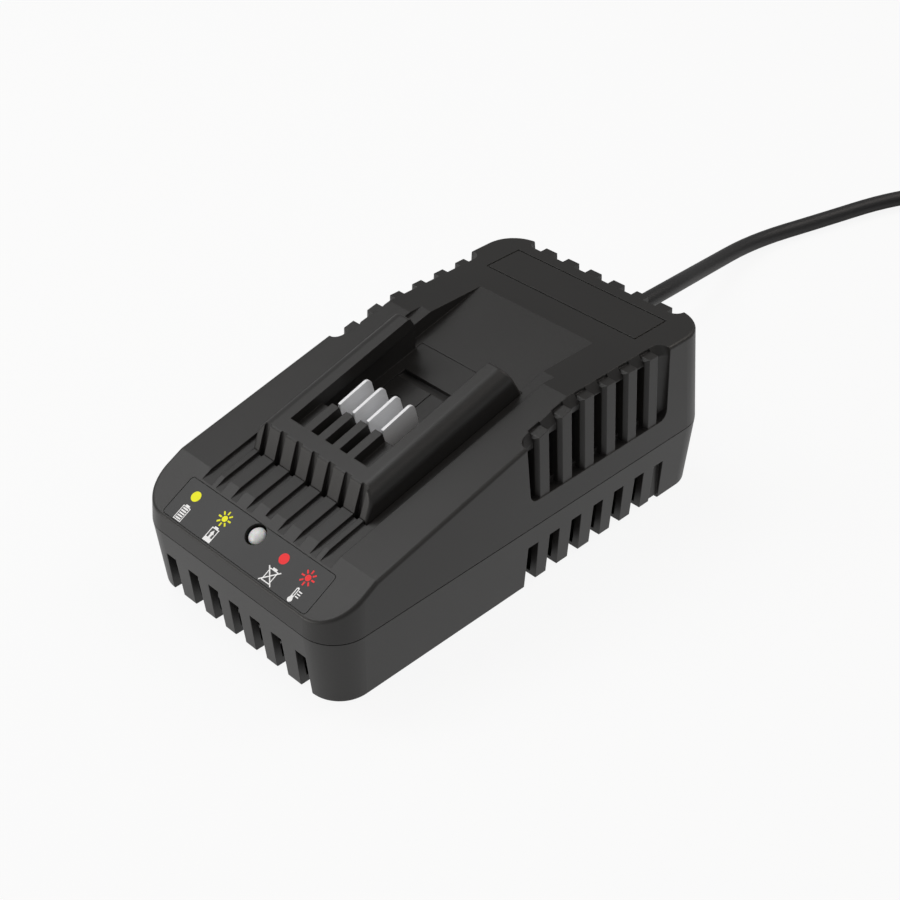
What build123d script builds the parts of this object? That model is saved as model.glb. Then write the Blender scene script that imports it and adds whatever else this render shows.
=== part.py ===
from build123d import *
import os
from math import atan, cos, degrees, hypot, pi, radians, sin, sqrt, tan

# Battery charger for a slide-on tool battery. Millimetres, +X right, +Y towards the mains cord, +Z up.
# The origin is the centre of the underside, on the surface that the charger stands on.

# ---- housing -------------------------------------------------------------------------------------
PART_Z = 23.9            # height of the joint between the two housings
PART_GAP = 0.3           # open joint line between them
TOP_Z = 59.2             # flat rear plateau
FOOT_X, FOOT_Y = 43.6, 81.3        # half sizes of the outline at z = 0
MID_X, MID_Y = 45.0, 83.64         # at the joint
CROWN_X, CROWN_Y = 43.47, 80.8     # and at the plateau
MID_R, FOOT_R = 12.3, 11.0         # radius of the upright corners, and at the foot
EDGE_R = 1.2             # rounding of the top edges
WALL = 2.5
SKIN = 3.2               # thickness under the sloped faces
FLOOR = 2.6

# ---- sloped faces, each a height at y = 0 and a rise per millimetre of y ---------------------------
HIP_Y = 17.3             # the plateau ends here and the long slope begins
SLOPE = 0.2342
SLOPE_Z = TOP_Z - SLOPE * HIP_Y
DECK_SLOPE = 0.533
DECK_Z = 74.71
CHANNEL_Z = 48.61        # floor of the dock channel and ramp, parallel to the long slope
RAIL_SLOPE = 0.2725
RAIL_Z = 65.13           # top of the dock rails

# ---- dock ------------------------------------------------------------------------------------------
DOCK_X = 25.5            # outer half width of the rails
DOCK_FRONT_Y = -52.2     # foot of the dock's front wall
DOCK_CREST_Y = -49.0     # its top
RAIL_END_Y = 6.0         # rear end of the rails at the top
RAIL_FOOT_Y = 11.8       # and at the foot
DOCK_REAR_Y = 14.8
DOCK_GAP = 0.18          # joint line between dock and upper housing
LIP_X = 17.2             # half width of the channel between the lips
LIP_T = 5.0
SLOT_X = 21.0            # half width under the lips
POCKET_FRONT_Y = -43.5
POCKET_REAR_Y = -31.0
POCKET_DEPTH = 3.8
RAMP_X = 24.5
GUTTER_X, GUTTER_DEPTH = 29.0, 1.15
GROOVE_COUNT, GROOVE_PITCH, GROOVE_W = 7, 7.1, 2.5
GROOVE_DEPTH, WALL_GROOVE_DEPTH = 1.15, 1.5
MID_GROOVE_END_Y = -67.6
RAIL_R, RAIL_END_R = 5.0, 1.1      # rounding of the rails' outer shoulders and of their ends
TRENCH_X, TRENCH_Y, TRENCH_DEPTH = -16.9, (0.1, 3.3), 0.6
MARK_X, MARK_Y, MARK_R = -10.0, -9.0, 2.7
DOCK_DEPTH = 9.1         # the dock reaches this far below the long slope
EAR_DROP, EAR_T = -7.6, 2.2        # its screw ears, under the upper housing's bosses

# ---- contact blades ----------------------------------------------------------------------------------
BLADE_X = (-9.45, -3.15, 3.15, 9.45)
BLADE_T = 1.0
BLADE_Y = (-30.9, -16.8)           # front and rear edge
RIB_W = 3.1
RIB_END_Y = -32.2

# ---- louvres -------------------------------------------------------------------------------------------
SLAT_COUNT, SLAT_PITCH, SLAT_W = 6, 10.08, 4.85
SLAT_FIRST_Y = 2.5
SLAT_DROP = 1.1          # the slats' tops lie this far under the surface round them
SLAT_BEVEL = 0.8
SLAT_CORNER_X = 1.5      # their outer front corner is cut back by this and by SLAT_BEVEL
SLAT_INSET, SLAT_LEAN = 0.3, 0.068     # their outer face stands back from the wall, more towards the top
SIDE_LOUVRE_Y = (-5.4, 60.2)
END_LOUVRE_X = 33.0
LOUVRE_Z = 33.0          # sill of the recess
LOUVRE_KNEE = 3.2        # its back wall turns into a slope this far under the top face
LOUVRE_DEPTH = 2.9       # from the outer face to the back wall between the slats
LOUVRE_SLOPE = 2.2
LOUVRE_LOW_R, LOUVRE_HIGH_R = 2.8, 3.8      # its inner corners at the back wall and at the rim
VENT_Z = (35.0, 55.6)

# ---- vent slots round the lower housing -------------------------------------------------------------------
END_SLOTS_X = (-30.0, -19.3, -9.65, 0.0, 9.65, 19.3, 30.0)
SIDE_SLOTS_Y = (-1.7, 8.0, 18.1, 28.4, 38.4, 48.5, 58.2)
SLOT_W = 5.1
END_SLOT_TOP, SIDE_SLOT_TOP = 15.0, 16.2
SLOT_REACH = 6.0         # how far a slot runs in under the floor
RIB_FOOT_Z = 1.2         # the side ribs end this far above the ground
KEYHOLE_R, NECK_R, KEYHOLE_LENGTH = 4.3, 2.15, 9.0
PAD_R, PAD_T = 5.0, 0.9
FEET = [(x, y) for x in (-24.0, 24.0) for y in (-66.0, 66.0)]

# ---- panels ------------------------------------------------------------------------------------------------
PANEL_X, PANEL_Y, PANEL_T, PANEL_R = 32.4, (-82.2, -70.0), 0.45, 1.0
FRAME_X, FRAME_Y, FRAME_W = 32.6, (56.0, 72.0), 0.6

# ---- inside -------------------------------------------------------------------------------------------------
BOARD_Z, BOARD_T = 9.0, 1.6
BOARD_TOP = BOARD_Z + BOARD_T
BOARD_SCREWS = [(x, y) for x in (-33.0, 33.0) for y in (-54.0, 54.0)]
CASE_SCREWS = [(x, y) for x in (-33.5, 33.5) for y in (-68.5, 68.5)]
DOCK_SCREWS = [(x, y) for x in (-30.8, 30.8) for y in (-42.0, -4.0)]
SCREW_R, SMALL_SCREW_R = 1.5, 1.1
HEAD_SEAT_Z = 12.0
LAMP_X, LAMP_Y, LAMP_R, LAMP_HOLE_R = 0.5, -73.0, 2.8, 3.55
DOME_BASE = -1.0         # the dome springs from this far below the deck
LED_TOP_Z, HOLDER_TOP = 17.0, 21.2
TRANSFORMER = (14.0, 14.0)
CHOKE = (22.0, 42.0)
LEAD_X = (-21.0, -16.0)
# parts on the board: x range, y range, height
INTERFERENCE_CAPACITOR = (-6.0, 12.0, 49.0, 56.5, 14.0)
BRIDGE_RECTIFIER = (-33.0, -28.5, 22.0, 38.0, 13.0)
INPUT_CONNECTOR = (-25.0, -12.0, 49.0, 57.0, 9.0)
# and round ones: x, y, radius, height
BULK_CAPACITOR = (-20.0, 16.0, 9.0, 30.0)
OUTPUT_CAPACITORS = [(21.0, -48.0, 5.0, 19.0), (9.0, -48.0, 5.0, 19.0)]
FUSE_X, FUSE_Y = (-30.0, -16.0), 43.0
CHIPS = [(-24, -46, 10, 6.5, 1.8), (-8, -50, 6, 5, 1.5), (-26, -30, 8, 6, 3.2), (6, -62, 5, 4, 1.2)]
# heat sinks and the parts on them: x range, y range, and the sinks' z range
SINK_FOOT_Z = 13.0
PRIMARY_SINK = (-36.0, -34.0, -22.0, 16.0, SINK_FOOT_Z, 38.0)
SECONDARY_SINK = (34.0, 36.0, -50.0, -12.0, SINK_FOOT_Z, 32.0)
POWER_SWITCH = (-34.0, -29.5, -8.0, 2.0)
OUTPUT_RECTIFIER = (29.5, 34.0, -34.0, -24.0)

# ---- mains cord -----------------------------------------------------------------------------------------------
CORD_D = 6.4
CORD_R = CORD_D / 2
EXIT_X = -15.8           # the cord passes the rear wall here, at the height of the joint
BOOT_LENGTH, BOOT_NECK_R = 30.0, 4.6
BOOT_BASE_R, BOOT_TIP_R = 5.7, 4.2
CLAMP_Y, CLAMP_HALF = 66.0, 13.0
CLAMP_SCREWS_X = (-8.5, 8.5)

# the remainder is wound clockwise, three turns inwards and a little over three outwards on top of them
COIL_X, COIL_Y = 48.0, 318.0
COIL_OUT_R, COIL_PITCH, COIL_LAYER_TURNS = 42.5, 6.5, 3
COIL_IN_R = COIL_OUT_R - COIL_PITCH * COIL_LAYER_TURNS
COIL_LIFT = 1.15         # the tie passes under the turns
COIL_START = 150.0       # degrees round the coil where the cord joins it; it leaves at 0 degrees
COIL_END_R = COIL_OUT_R + COIL_PITCH * COIL_START / 360
COIL_RIM = COIL_OUT_R + CORD_R + 1.0      # outside of the turns where the tie holds them
STUB = 26.0              # straight stretch where the cord meets or leaves the outer turn
TIE_T, TIE_W, TIE_GAP = 1.0, 12.0, 0.08

# ---- plug -----------------------------------------------------------------------------------------------------
PLUG_X = COIL_X + COIL_END_R
PLUG_Y, PLUG_Z = 244.0, 7.0        # where the cord enters it, and its axis
SLEEVE_LENGTH = 20.0
PLUG_BODY = (35.0, 34.0, 13.8)
PIN_R, PIN_LENGTH, PIN_SPACING = 2.0, 19.0, 18.6


# ---- helpers ----------------------------------------------------------------------------------------------------
def long_slope(y):
    return SLOPE_Z + SLOPE * y


def deck(y):
    return DECK_Z + DECK_SLOPE * y


def channel(y):
    return CHANNEL_Z + SLOPE * y


def rail_top(y):
    return RAIL_Z + RAIL_SLOPE * y


def box(x0, x1, y0, y1, z0, z1):
    """Box between two values on each axis, given in either order."""
    centre = ((x0 + x1) / 2, (y0 + y1) / 2, (z0 + z1) / 2)
    return Pos(*centre) * Box(abs(x1 - x0), abs(y1 - y0), abs(z1 - z0))


def rod(x, y, z0, z1, r):
    return Pos(x, y, (z0 + z1) / 2) * Cylinder(r, z1 - z0)


def rod_along_y(x, z, y0, y1, r):
    return Pos(x, (y0 + y1) / 2, z) * Rot(X=90) * Cylinder(r, y1 - y0)


def rod_along_x(y, z, x0, x1, r):
    return Pos((x0 + x1) / 2, y, z) * Rot(Y=90) * Cylinder(r, x1 - x0)


def prism_along_x(outline, x0, x1):
    """Solid from an outline of (y, z) points."""
    low, high = min(x0, x1), max(x0, x1)
    return extrude(Plane.YZ.offset(low) * Polygon(*outline, align=None), high - low, dir=(1, 0, 0))


def prism_along_y(outline, y0, y1):
    """Solid from an outline of (x, z) points."""
    plane = Plane(origin=(0, y0, 0), x_dir=(1, 0, 0), z_dir=(0, -1, 0))
    return extrude(plane * Polygon(*outline, align=None), y1 - y0, dir=(0, 1, 0))


def joined(shapes):
    """All shapes as one."""
    total = Part()
    for shape in shapes:
        total += shape
    return total


def frustum(low, z0, high, z1, r):
    """Block with four leaning walls between two half sizes (x, y), its upright edges rounded."""
    (ax, ay), (bx, by) = low, high
    block = prism_along_y([(-ax, z0), (ax, z0), (bx, z1), (-bx, z1)], -150, 150)
    block &= prism_along_x([(-ay, z0), (ay, z0), (by, z1), (-by, z1)], -150, 150)
    upright = [edge for edge in block.edges() if abs(edge.tangent_at(0).Z) > 0.7]
    return fillet(upright, r)


def inset(size, amount):
    return (size[0] - amount, size[1] - amount)


def base_size(z):
    share = z / PART_Z
    return (FOOT_X + (MID_X - FOOT_X) * share, FOOT_Y + (MID_Y - FOOT_Y) * share)


def upper_size(z):
    share = (z - PART_Z) / (TOP_Z - PART_Z)
    return (MID_X + (CROWN_X - MID_X) * share, MID_Y + (CROWN_Y - MID_Y) * share)


def side_profile(drop, bottom):
    """Side view of the upper housing, its top faces lowered by drop."""
    crest_y = (DECK_Z - SLOPE_Z) / (SLOPE - DECK_SLOPE)
    return [
        (-95, bottom), (95, bottom), (95, TOP_Z - drop), (HIP_Y, TOP_Z - drop),
        (crest_y, deck(crest_y) - drop), (-95, deck(-95) - drop),
    ]


def centred_row(count, pitch):
    return [pitch * (i - (count - 1) / 2) for i in range(count)]


def side_slats():
    return [SLAT_FIRST_Y + SLAT_PITCH * i for i in range(SLAT_COUNT)]


# ---- lower housing -----------------------------------------------------------------------------------------------
def slot_outline(centre, top):
    """Vent slot seen from outside: open below, with a little draft."""
    half = SLOT_W / 2
    return [(centre - half, -1), (centre + half, -1), (centre + half - 0.25, top), (centre - half + 0.25, top)]


def vent_slots():
    slots = []
    for sign in (-1, 1):
        for x in END_SLOTS_X:
            slots.append(prism_along_y(slot_outline(x, END_SLOT_TOP), *sorted((sign * (FOOT_Y - SLOT_REACH), sign * 90))))
        for y in SIDE_SLOTS_Y[:-1]:
            slots.append(prism_along_x(slot_outline(y, SIDE_SLOT_TOP), sign * (FOOT_X - SLOT_REACH), sign * 50))
        # the last one on each side is blind
        slots.append(prism_along_x(slot_outline(SIDE_SLOTS_Y[-1], SIDE_SLOT_TOP - 0.4), sign * (FOOT_X - 0.7), sign * 50))
        # the feet of the side ribs stand clear of the ground
        y0, y1 = SIDE_SLOTS_Y[0] - SLOT_W / 2, SIDE_SLOTS_Y[-1] + SLOT_W / 2
        slots.append(box(sign * (FOOT_X - SLOT_REACH), sign * 50, y0, y1, -1, RIB_FOOT_Z))
    return slots


def keyhole(x, y):
    """Hanging slot: a round mouth for the screw head and a narrow neck behind it."""
    mouth = rod(x, y, -1, FLOOR + 1, KEYHOLE_R)
    neck = box(x - NECK_R, x + NECK_R, y, y + KEYHOLE_LENGTH, -1, FLOOR + 1)
    return [mouth, neck, rod(x, y + KEYHOLE_LENGTH, -1, FLOOR + 1, NECK_R)]


def tongue():
    """Rim that stands up inside the upper housing."""
    low, high = PART_Z - 2.6, PART_Z + 2.0
    rim = frustum(inset(base_size(low), WALL - 0.2), low, inset(upper_size(high), WALL + 0.15), high, MID_R - WALL)
    inner = frustum(
        inset(base_size(low), WALL + 1.3), low - 0.5, inset(upper_size(high), WALL + 1.4), high + 0.5,
        MID_R - WALL - 1.3,
    )
    return rim - inner


def base_shell():
    joint_z = PART_Z - PART_GAP / 2
    foot = RectangleRounded(2 * FOOT_X, 2 * FOOT_Y, FOOT_R)
    brim = RectangleRounded(2 * base_size(joint_z)[0], 2 * base_size(joint_z)[1], MID_R)
    shell = loft(Sketch() + [foot, Plane.XY.offset(joint_z) * brim], ruled=True)
    shell = fillet(shell.faces().sort_by(Axis.Z)[0].edges(), 0.5)
    shell -= frustum(
        inset(base_size(FLOOR), WALL), FLOOR, inset(base_size(joint_z + 4), WALL), joint_z + 4, MID_R - WALL
    )
    posts = [tongue()]
    posts += [rod(x, y, FLOOR - 1, PART_Z - 1.0, 4.6) for x, y in CASE_SCREWS]
    posts += [rod(x, y, FLOOR - 1, BOARD_Z, 3.2) for x, y in BOARD_SCREWS]
    seat_x = EXIT_X - CLAMP_HALF, EXIT_X + CLAMP_HALF
    posts.append(box(*seat_x, CLAMP_Y - 4, CLAMP_Y + 4, FLOOR - 1, PART_Z - 0.6))
    shell += joined(posts)
    holes = vent_slots() + keyhole(0, -46.0) + keyhole(0, 32.0)
    for x, y in CASE_SCREWS:
        holes += [rod(x, y, -1, HEAD_SEAT_Z, 3.3), rod(x, y, 1, PART_Z, SCREW_R + 0.3)]
    holes += [rod(x, y, BOARD_Z - 6, BOARD_Z + 1, SMALL_SCREW_R + 0.3) for x, y in BOARD_SCREWS]
    holes += [rod(EXIT_X + side, CLAMP_Y, PART_Z - 9, PART_Z, SMALL_SCREW_R + 0.3) for side in CLAMP_SCREWS_X]
    holes += [rod(x, y, -1, PAD_T + 0.05, PAD_R + 0.2) for x, y in FEET]
    holes.append(rod_along_y(EXIT_X, PART_Z, CLAMP_Y - 6, CLAMP_Y + 6, CORD_R + 0.2))
    holes.append(rod_along_y(EXIT_X, PART_Z, MID_Y - 8, MID_Y + 5, BOOT_NECK_R + 0.3))
    return shell - joined(holes)


def foot_pad(x, y):
    pad = rod(x, y, 0, PAD_T, PAD_R)
    return fillet(pad.faces().sort_by(Axis.Z)[0].edges(), 0.25)


# ---- upper housing ------------------------------------------------------------------------------------------------
def rounded(outline, corners, r):
    """Flat outline with some of its corners, given by number, rounded."""
    face = Polygon(*outline, align=None)
    picked = [v for v in face.vertices() for i in corners if hypot(v.X - outline[i][0], v.Y - outline[i][1]) < 0.01]
    return fillet(picked, r)


def surface(y):
    """Height of the upper housing's top face behind the deck."""
    return min(TOP_Z, long_slope(y))


def slat_side(y0, y1):
    """Slat of the side vent seen along X: its top follows the surface, its front top corner is bevelled."""
    front = surface(y0 + SLAT_BEVEL) - SLAT_DROP
    return [(y0, 20), (y1, 20), (y1, surface(y1) - SLAT_DROP), (y0 + SLAT_BEVEL, front), (y0, front - SLAT_BEVEL)]


def slat_front(edge, z_low, z_high):
    """Outline (outwards, z) of a slat seen along its wall, from far inside to its leaning outer face."""
    lean = SLAT_LEAN * (z_high - z_low)
    return [(edge - 15, z_low), (edge - SLAT_INSET, z_low), (edge - SLAT_INSET - lean, z_high), (edge - 15, z_high)]


def louvre_plan(inner_0, inner_1, y0, y1, corners, r, stretch=1.0):
    """Outline of a pocket that is open towards +X; stretch lengthens it for a tilted plane."""
    points = [(inner_0, y0 * stretch), (inner_1, y1 * stretch), (95, y1 * stretch), (95, y0 * stretch)]
    return rounded(points, corners, r) if corners else Polygon(*points, align=None)


def louvre_pocket(knee, rim):
    """Pocket between the slats: straight down from the knee, and sloped from there up to the rim."""
    slope = loft(Sketch() + [knee, rim], ruled=True)
    return slope + extrude(knee, 40, dir=(0, 0, -1)) + extrude(rim, 12, dir=(0, 0, 1))


def level_pocket(edge, y0, y1, corners):
    """Pocket below the plateau, open towards +X."""
    back = edge - LOUVRE_DEPTH
    ridge = back - LOUVRE_SLOPE
    knee = Plane.XY.offset(TOP_Z - LOUVRE_KNEE) * louvre_plan(back, back, y0, y1, corners, LOUVRE_LOW_R)
    rim = Plane.XY.offset(TOP_Z) * louvre_plan(ridge, ridge, y0, y1, corners, LOUVRE_HIGH_R)
    return louvre_pocket(knee, rim)


def sloped_pocket(edge, y0, y1):
    """Pocket below the long slope, open towards +X; it is a little shallower at its front end."""
    back = edge - LOUVRE_DEPTH
    ridge = back - LOUVRE_SLOPE
    stretch = hypot(1, SLOPE)
    faces = []
    for drop, inner, r in ((LOUVRE_KNEE, (back, back), LOUVRE_LOW_R), (0, (ridge + 0.9, ridge), LOUVRE_HIGH_R)):
        plane = Plane(origin=(0, 0, SLOPE_Z - drop), x_dir=(1, 0, 0), z_dir=(0, -SLOPE, 1))
        faces.append(plane * louvre_plan(*inner, y0, y1, (0,), r, stretch))
    return louvre_pocket(*faces)


def side_louvre(sign):
    """Everything cut from one side of the upper housing for its louvred vent."""
    edge = upper_size(50)[0]
    ridge = edge - LOUVRE_DEPTH - LOUVRE_SLOPE
    front, rear = SIDE_LOUVRE_Y
    pocket = sloped_pocket(edge, front, HIP_Y) + level_pocket(edge, HIP_Y, rear, (1,))
    if sign < 0:
        pocket = mirror(pocket, about=Plane.YZ)
    # seen from the side: rounded lower corners, the front end leaning forward towards the top
    view = rounded([(front + 1.8, LOUVRE_Z), (rear, LOUVRE_Z), (rear, 70), (front, 70), (front, 56)], (0, 1), 3.5)
    pocket &= extrude(Plane.YZ.offset(-60) * view, 120, dir=(1, 0, 0))
    half = SLAT_W / 2
    face = slat_front(upper_size(LOUVRE_Z)[0], LOUVRE_Z - 0.01, 70)
    bars, vents, steps = [], [], []
    for y in side_slats():
        bar = prism_along_x(slat_side(y - half, y + half), sign * 25, sign * 60)
        bar &= prism_along_y([(sign * x, z) for x, z in face], y - half, y + half)
        bar -= slat_corner(sign, y - half)
        bars.append(bar)
        step = prism_along_x(slat_side(y - half, y + half), sign * 25, sign * 60)
        steps.append(box(sign * ridge, sign * 50, y - half, y + half, 45, 70) - step)
    starts = [front + 2.4] + [y + half for y in side_slats()[:-1]]
    for y0, y1 in zip(starts, [y - half for y in side_slats()]):
        vents.append(box(sign * 35, sign * 42, y0, y1, VENT_Z[0], min(VENT_Z[1], long_slope(y0) - 4.5)))
    return pocket - joined(bars) + joined(vents) + joined(steps)


def slat_corner(sign, y):
    """Wedge that bevels the outer front corner of a slat along its leaning face."""
    def plan(z):
        x = upper_size(LOUVRE_Z)[0] - SLAT_INSET - SLAT_LEAN * (z - LOUVRE_Z)
        points = [(x - SLAT_CORNER_X, y), (x + 0.5, y - 0.01), (x + 0.5, y + SLAT_BEVEL * (1 + 0.5 / SLAT_CORNER_X))]
        return Plane.XY.offset(z) * Polygon(*[(sign * a, b) for a, b in points], align=None)
    return loft(Sketch() + [plan(LOUVRE_Z - 1), plan(64.0)], ruled=True)


def end_louvre():
    """Everything cut from the rear end of the upper housing for its louvred vent."""
    edge = upper_size(50)[1]
    ridge = edge - LOUVRE_DEPTH - LOUVRE_SLOPE
    x = END_LOUVRE_X
    pocket = Rot(Z=90) * level_pocket(edge, -x, x, (0, 1))
    view = rounded([(-x, LOUVRE_Z), (x, LOUVRE_Z), (x, 70), (-x, 70)], (0, 1), 3.5)
    pocket &= extrude(Plane(origin=(0, 60, 0), x_dir=(1, 0, 0), z_dir=(0, -1, 0)) * view, 40, dir=(0, 1, 0))
    half = SLAT_W / 2
    top = TOP_Z - SLAT_DROP
    centres = centred_row(SLAT_COUNT, SLAT_PITCH)
    bars, steps = [], []
    for x in centres:
        bars.append(prism_along_x(slat_front(upper_size(LOUVRE_Z)[1], LOUVRE_Z - 0.01, top), x - half, x + half))
        steps.append(box(x - half, x + half, ridge, 95, top, 70))
    vents = [box(a + half, b - half, 72, 81, *VENT_Z) for a, b in zip(centres, centres[1:])]
    return pocket - joined(bars) + joined(vents) + joined(steps)


def ramp():
    """Ramp from the plateau down to the dock."""
    side = [(RAIL_FOOT_Y, channel(RAIL_FOOT_Y)), (60, channel(60)), (60, 80), (RAIL_FOOT_Y, 80)]
    return prism_along_x(side, -RAMP_X, RAMP_X)


def strip_along_slope(x0, x1, y0, y1, depth):
    """Cutter that lowers the long slope by depth."""
    outline = [(y0, long_slope(y0) - depth), (y1, long_slope(y1) - depth), (y1, long_slope(y1) + 9),
               (y0, long_slope(y0) + 9)]
    return prism_along_x(outline, x0, x1)


def pad_grooves():
    """Grooves down the pad in front of the dock; they run out on the deck."""
    cutters = []
    for x in centred_row(GROOVE_COUNT, GROOVE_PITCH):
        stop = MID_GROOVE_END_Y if abs(x) < 0.1 else -75.0
        cutters.append(strip_along_slope(x - GROOVE_W / 2, x + GROOVE_W / 2, stop, DOCK_FRONT_Y + 1, GROOVE_DEPTH))
    return cutters


def gutters():
    """Shallow channels beside the dock; they run out on the plateau and on the deck."""
    beside = [strip_along_slope(sign * (DOCK_X - 1), sign * GUTTER_X, -75.0, 26.0, GUTTER_DEPTH) for sign in (-1, 1)]
    return beside + [strip_along_slope(-GUTTER_X, GUTTER_X, RAIL_FOOT_Y, 26.0, GUTTER_DEPTH)]


def on_deck(x, y):
    """Place on the deck, its Z square to it."""
    return Pos(x, y, deck(y)) * Rot(X=degrees(atan(DECK_SLOPE)))


def deck_panel(margin, low, high):
    """Slab of the indicator panel's outline, grown by margin, between two heights above the deck."""
    length = (PANEL_Y[1] - PANEL_Y[0]) * hypot(1, DECK_SLOPE)
    outline = RectangleRounded(2 * (PANEL_X + margin), length + 2 * margin, PANEL_R + margin)
    return on_deck(0, sum(PANEL_Y) / 2) * Pos(0, 0, low) * extrude(outline, high - low)


def plateau_frame():
    """Fine groove round the bare panel at the rear of the plateau."""
    x, y0, y1 = FRAME_X, *FRAME_Y
    inner = box(-x + FRAME_W, x - FRAME_W, y0 + FRAME_W, y1 - FRAME_W, TOP_Z - 3, TOP_Z + 3)
    return box(-x, x, y0, y1, TOP_Z - 0.45, TOP_Z + 1) - inner


def upper_body():
    """Outer form of the upper housing, its top edges rounded."""
    joint_z = PART_Z + PART_GAP / 2
    body = frustum(upper_size(joint_z), joint_z, upper_size(TOP_Z + 6), TOP_Z + 6, MID_R)
    body &= prism_along_x(side_profile(0, PART_Z), -60, 60)
    rim = []
    for edge in body.edges():
        across = abs(edge.tangent_at(0).X) > 0.99 and -82 < edge.center().Y < 60
        upright = edge.geom_type == GeomType.LINE and abs(edge.tangent_at(0).Z) > 0.7
        if edge.center().Z > PART_Z + 2 and not across and not upright:
            rim.append(edge)
    return fillet(rim, EDGE_R)


def upper_cavity():
    joint_z = PART_Z - 2
    cavity = frustum(inset(upper_size(joint_z), WALL), joint_z, inset(upper_size(TOP_Z), WALL), TOP_Z, MID_R - WALL)
    cavity &= prism_along_x(side_profile(SKIN, PART_Z - 4), -60, 60)
    # thicker behind the louvres and round the ramp
    backing = [box(sign * 38.4, sign * 50, -8.5, 62.8, LOUVRE_Z - 2.2, 70) for sign in (-1, 1)]
    backing.append(box(-35.6, 35.6, 76.6, 95, LOUVRE_Z - 2.2, 70))
    start = RAIL_FOOT_Y + 0.3
    trough = [(start, channel(start) - 2.4), (52, channel(52) - 2.4), (52, 80), (start, 80)]
    backing.append(prism_along_x(trough, -RAMP_X - 2.2, RAMP_X + 2.2))
    return cavity - joined(backing)


def boss_top(y):
    """The bosses for the housing screws end inside the skin above them."""
    return min(TOP_Z, deck(y - 4)) - 2


def top_shell():
    shell = upper_body() - upper_cavity()
    bosses = [rod(x, y, PART_Z - 0.6, boss_top(y), 3.6) for x, y in CASE_SCREWS]
    bosses += [rod(x, y, EAR_DROP + long_slope(y), long_slope(y) - 2, 3.4) for x, y in DOCK_SCREWS]
    shell += joined(bosses)
    gap = DOCK_GAP
    cuts = [box(-DOCK_X - gap, DOCK_X + gap, DOCK_FRONT_Y - gap, RAIL_FOOT_Y + gap, 36, 80)]
    cuts.append(box(-SLOT_X - gap, SLOT_X + gap, RAIL_FOOT_Y, DOCK_REAR_Y + gap, 36, 80))
    cuts += [ramp(), side_louvre(-1), side_louvre(1), end_louvre(), plateau_frame()]
    cuts += gutters() + pad_grooves()
    cuts.append(deck_panel(0.15, -PANEL_T, 6))
    cuts.append(on_deck(LAMP_X, LAMP_Y) * Cylinder(LAMP_HOLE_R, 16))
    cuts += [rod(x, y, PART_Z - 2, PART_Z + 8.5, SCREW_R + 0.3) for x, y in CASE_SCREWS]
    cuts += [rod(x, y, 20, long_slope(y) - 2.6, SMALL_SCREW_R + 0.3) for x, y in DOCK_SCREWS]
    cuts.append(rod_along_y(EXIT_X, PART_Z, MID_Y - 8, MID_Y + 5, BOOT_NECK_R + 0.3))
    return shell - joined(cuts)


# ---- dock ------------------------------------------------------------------------------------------------------------
def dock_body():
    """Outer form of the dock: front wall, two rails and the floor between them."""
    rear_z = long_slope(DOCK_REAR_Y)
    profile = [
        (DOCK_FRONT_Y, long_slope(DOCK_FRONT_Y) - DOCK_DEPTH), (DOCK_FRONT_Y, long_slope(DOCK_FRONT_Y)),
        (DOCK_CREST_Y, rail_top(DOCK_CREST_Y)), (RAIL_END_Y, rail_top(RAIL_END_Y)),
        (RAIL_FOOT_Y, long_slope(RAIL_FOOT_Y) - GUTTER_DEPTH), (DOCK_REAR_Y, rear_z - GUTTER_DEPTH),
        (DOCK_REAR_Y, rear_z - DOCK_DEPTH),
    ]
    body = prism_along_x(profile, -DOCK_X, DOCK_X)
    shoulders = [
        edge for edge in body.edges()
        if abs(edge.center().X) > 25 and abs(edge.center().Z - rail_top(edge.center().Y)) < 0.1
    ]
    body = fillet(shoulders, RAIL_R)
    ends = []
    for face in body.faces():
        centre = face.center()
        if centre.Z > long_slope(centre.Y) and (centre.Y < DOCK_CREST_Y or centre.Y > RAIL_END_Y):
            ends += [edge for edge in face.edges() if edge.center().Z > long_slope(edge.center().Y) + 1]
    return fillet(ends, RAIL_END_R)


def wall_grooves():
    """Grooves in the dock's front wall that carry on from those in the pad."""
    low = DOCK_FRONT_Y, long_slope(DOCK_FRONT_Y) - 3
    high = DOCK_CREST_Y, rail_top(DOCK_CREST_Y)
    outline = [(low[0] + WALL_GROOVE_DEPTH - 0.3, low[1]), (high[0] + 0.75, high[1]), (high[0] + 0.9, high[1] + 2),
               (low[0] - 3, high[1] + 2), (low[0] - 3, low[1])]
    return [prism_along_x(outline, x - GROOVE_W / 2, x + GROOVE_W / 2) for x in centred_row(GROOVE_COUNT, GROOVE_PITCH)]


def channel_strip(x0, x1, y0, y1, depth):
    """Cutter that lowers the channel's floor by depth."""
    outline = [(y0, channel(y0) - depth), (y1, channel(y1) - depth), (y1, channel(y1) + 1), (y0, channel(y0) + 1)]
    return prism_along_x(outline, x0, x1)


def floor_details():
    """Drain trench across the channel, two fine joint lines and a round mould mark ahead of it."""
    mark = rod(MARK_X, MARK_Y, 40, 60, MARK_R) - rod(MARK_X, MARK_Y, 39, 61, MARK_R - 0.45)
    mark &= channel_strip(MARK_X - 4, MARK_X + 4, MARK_Y - 4, MARK_Y + 4, 0.5)
    level = channel(TRENCH_Y[0]) - TRENCH_DEPTH
    trench = box(TRENCH_X, SLOT_X, *TRENCH_Y, level, level + 3)
    lines = [channel_strip(x - 0.15, x + 0.15, POCKET_REAR_Y + 1, TRENCH_Y[0], 0.4) for x in (TRENCH_X, -1.8)]
    return lines + [trench, mark]


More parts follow.
